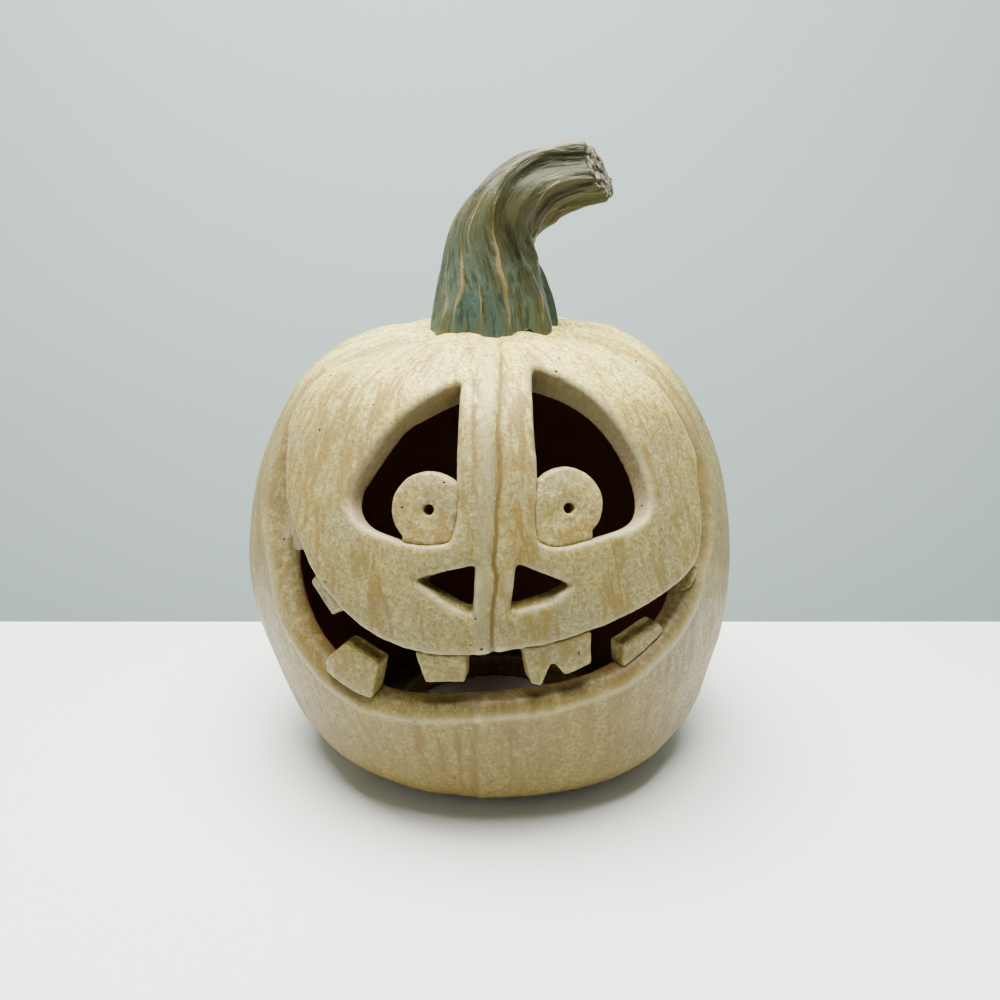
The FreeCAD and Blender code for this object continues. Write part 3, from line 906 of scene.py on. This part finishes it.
def stem_glaze():
    """Glossy grey-green glaze, deep in the folds and tan where it breaks over the ribs. The tip is bare and
    porous."""
    made = Shader("stem_glaze")
    along = made.attribute("grain", vector=True)
    streak = made.noise(along, 0.30, 4.0, 0.6, 0.4)
    thread = made.noise(along, 0.95, 4.0, 0.65, 0.3)
    patches = made.noise(made.place, 60.0, 3.0, 0.5)
    crest = made.attribute("crest")
    bare = made.attribute("bare")
    rise = made.remap(made.height(), 0.180, 0.212)

    colour = made.mix(made.remap(patches, 0.40, 0.60), CELADON, TEAL)
    colour = made.mix(made.remap(streak, 0.46, 0.60, 0.0, 0.75), colour, OLIVE)
    colour = made.mix(made.remap(thread, 0.50, 0.62, 0.0, 0.60), colour, FOLD)
    deep = made.math("MULTIPLY", rise, made.remap(patches, 0.35, 0.60, 0.45, 0.95))
    colour = made.mix(deep, colour, OLIVE_DEEP)
    ridge = made.math("MULTIPLY", made.attribute("rib"), made.remap(thread, 0.30, 0.55, 0.45, 1.0))
    colour = made.mix(made.remap(ridge, 0.15, 0.95, 0.0, 0.75), colour, TAN)
    colour = made.mix(made.remap(crest, 0.22, 0.60, 0.0, 0.45), colour, TAN)
    colour = made.mix(made.remap(crest, -0.05, -0.40, 0.0, 0.70), colour, FOLD)
    grit = made.noise(made.place, 480.0, 3.0, 0.7)
    clay = made.mix(made.remap(grit, 0.44, 0.56), PORE, BISQUE)
    colour = made.mix(bare, colour, clay)
    crumbs = made.math("MULTIPLY", made.math("MULTIPLY", grit, bare), 1.6)
    relief = made.math("ADD", made.math("MULTIPLY", thread, 1.2), crumbs)
    normal = made.bump(relief, 0.0008)
    roughness = made.remap(bare, 0.0, 1.0, 0.08, 0.85)
    made.surface.inputs["Specular IOR Level"].default_value = 0.30
    return made.finish(colour, roughness, normal)


# --- Stage ------------------------------------------------------------------------------------------------

SHELF = (0.92, 0.94, 0.90, 1.0)
WALL_TOP = (0.40, 0.50, 0.47, 1.0)
WALL_FOOT = (0.60, 0.76, 0.72, 1.0)
ROOM = (0.82, 0.90, 0.94, 1.0)
ROOM_STRENGTH = 0.22


def make_plane(name, corners, foot, top):
    """Painted plane, with one colour low down and another high up."""
    mesh = bpy.data.meshes.new(name)
    mesh.from_pydata(corners, [], [(0, 1, 2, 3)])
    paint = Shader(name + "_paint")
    colour = paint.mix(paint.remap(paint.height(), -0.2, 0.4), foot, top)
    mesh.materials.append(paint.finish(colour, 0.7))
    plane = bpy.data.objects.new(name, mesh)
    bpy.context.scene.collection.objects.link(plane)


def make_stage():
    """White shelf, with a plain blue-grey wall some way behind it."""
    near, far, side = -0.23, 0.100, 1.2
    corners = [(-side, near, 0.0), (side, near, 0.0), (side, far, 0.0), (-side, far, 0.0)]
    make_plane("shelf", corners, SHELF, SHELF)
    wall = 0.55
    corners = [(-2.0, wall, -1.0), (2.0, wall, -1.0), (2.0, wall, 2.0), (-2.0, wall, 2.0)]
    make_plane("wall", corners, WALL_FOOT, WALL_TOP)


def add_area(name, place, aim, size, watts, colour):
    light = bpy.data.lights.new(name, "AREA")
    light.shape = "RECTANGLE"
    light.size, light.size_y = size
    light.energy = watts
    light.color = colour
    lamp = bpy.data.objects.new(name, light)
    lamp.location = place
    lamp.rotation_euler = (Vector(aim) - Vector(place)).to_track_quat("-Z", "Y").to_euler()
    bpy.context.scene.collection.objects.link(lamp)


def make_lights():
    aim = (0.0, 0.0, 0.10)
    add_area("ceiling_light", (-0.06, -0.06, 0.95), aim, (0.8, 0.6), watts=44.0, colour=(1.0, 0.985, 0.95))
    add_area("room_light", (-1.2, -1.3, 0.8), aim, (1.2, 1.0), watts=2.4, colour=(0.96, 0.97, 0.96))
    world = bpy.data.worlds.new("studio")
    world.use_nodes = True
    world.node_tree.nodes["Background"].inputs["Color"].default_value = ROOM
    world.node_tree.nodes["Background"].inputs["Strength"].default_value = ROOM_STRENGTH
    bpy.context.scene.world = world


CAMERA_BACK = 0.4121         # from the middle of the body to the lens
CAMERA_HEIGHT = 0.2305
CAMERA_PITCH = 17.8          # degrees down from level
FOCAL_SHARE = 1.08           # focal length as a share of the sensor's width
CAMERA_SHIFT = 0.010         # of the picture's width, to the side


def make_camera():
    data = bpy.data.cameras.new("camera")
    data.sensor_width = 36.0
    data.lens = data.sensor_width * FOCAL_SHARE
    data.shift_x = CAMERA_SHIFT
    data.clip_start = 0.01
    camera = bpy.data.objects.new("camera", data)
    camera.location = (0.0, -CAMERA_BACK, CAMERA_HEIGHT)
    camera.rotation_euler = (math.radians(90.0 - CAMERA_PITCH), 0.0, 0.0)
    bpy.context.scene.collection.objects.link(camera)
    bpy.context.scene.camera = camera


make_camera()
make_stage()
make_lights()

make_body().data.materials.append(stoneware("brushed_stoneware", brushed=True, tint=BODY_TINT))
eye_clay = stoneware("eye_stoneware", brushed=False, tint=EYE_TINT)
tooth_clay = stoneware("tooth_stoneware", brushed=False, tint=TOOTH_TINT)
for eye in ("left_eye", "right_eye"):
    piece = make_slab(eye, rounding=0.5, grow=0.35, pupil=hole_middle(eye))
    piece.data.materials.append(eye_clay)
for tooth in sorted(name for name in NODES if name.endswith("_tooth")):
    shift = TOOTH_SHIFT.get(tooth, UNMOVED)
    piece = make_slab(tooth, rounding=0.4, grow=0.30, shift=shift)
    piece.data.materials.append(tooth_clay)
make_stem().data.materials.append(stem_glaze())
